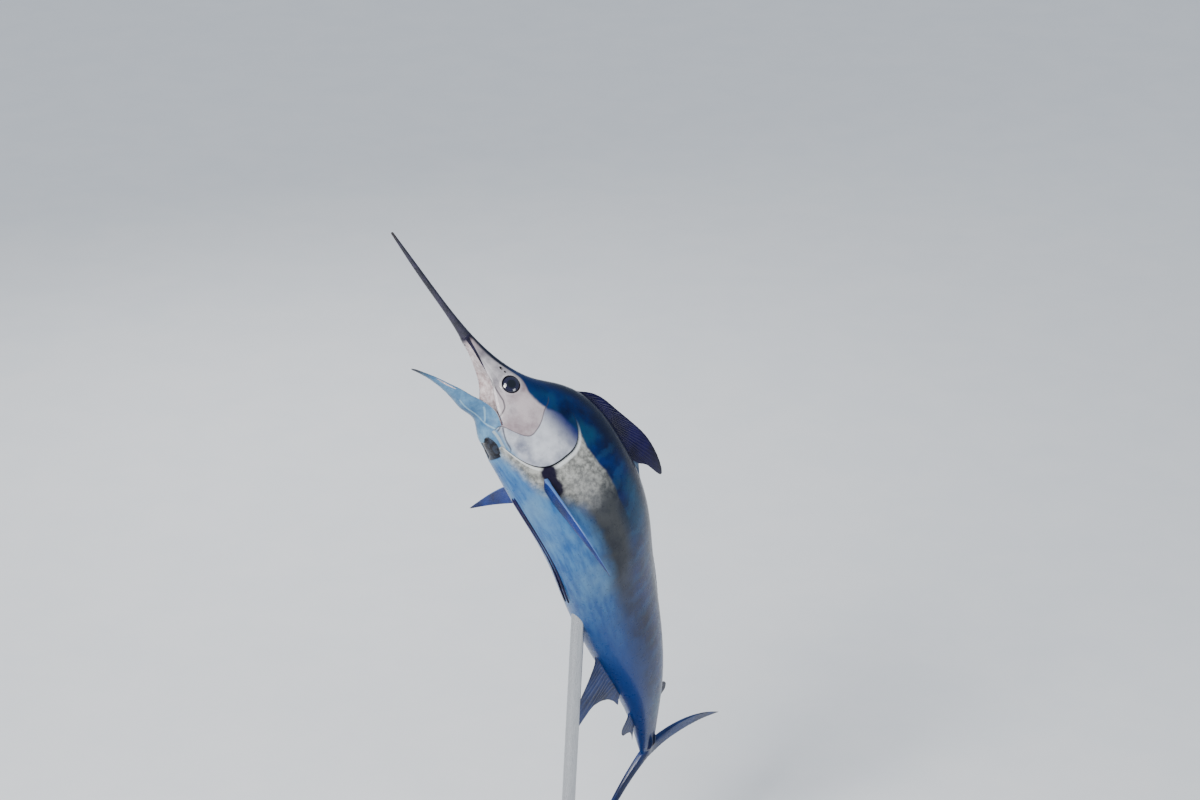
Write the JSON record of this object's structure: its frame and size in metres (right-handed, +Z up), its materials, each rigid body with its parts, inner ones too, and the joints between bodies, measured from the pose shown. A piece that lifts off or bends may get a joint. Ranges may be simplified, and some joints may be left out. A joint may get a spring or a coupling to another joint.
{
  "type": "life-size leaping marlin display model",
  "caption": "Life-size leaping marlin, mouth open, tail down, held over a round base by a rod to the belly.",
  "frame": {"origin": "middle of the whole model's outline in plan, at the underside of the stand's base", "axes": "+Z up, -Y towards the picture's camera, +X to the picture's right; the fish's tail hangs down and its bill points up and to -X"},
  "size_m": [1.5032, 1.585, 3.3964],
  "materials": {
    "skin": "wet gloss painted skin, deep blue back, silver flank",
    "bill_horn": "rough brown-grey horn",
    "eye_black": "polished, near black with a blue tinge",
    "fin_dark": "gloss purple-black membrane",
    "fin_blue": "gloss royal blue membrane",
    "stand_wood": "dark varnish",
    "stand_steel": "brushed"
  },
  "bodies": {
    "root": {"head": "skin", "lower_jaw": "skin", "gill_cover_left": "skin", "gill_cover_right": "skin", "trunk_front": "skin", "trunk_mid": "skin", "trunk_rear": "skin", "tail_stalk": "skin", "bill": "bill_horn", "eye_left": "eye_black", "eye_right": "eye_black", "dorsal_fin_lobe": "fin_dark", "dorsal_fin_low": "fin_dark", "dorsal_fin_second": "fin_dark", "pelvic_fin_left": "fin_dark", "pelvic_fin_right": "fin_dark", "anal_fin_first": "fin_blue", "anal_fin_second": "fin_blue", "pectoral_fin_left": "fin_blue", "pectoral_fin_right": "fin_blue", "tail_fin_upper": "fin_blue", "tail_fin_lower": "fin_blue", "stand_base": "stand_wood", "stand_rod": "stand_steel", "stand_flange": "stand_steel"}
  },
  "joints": []
}
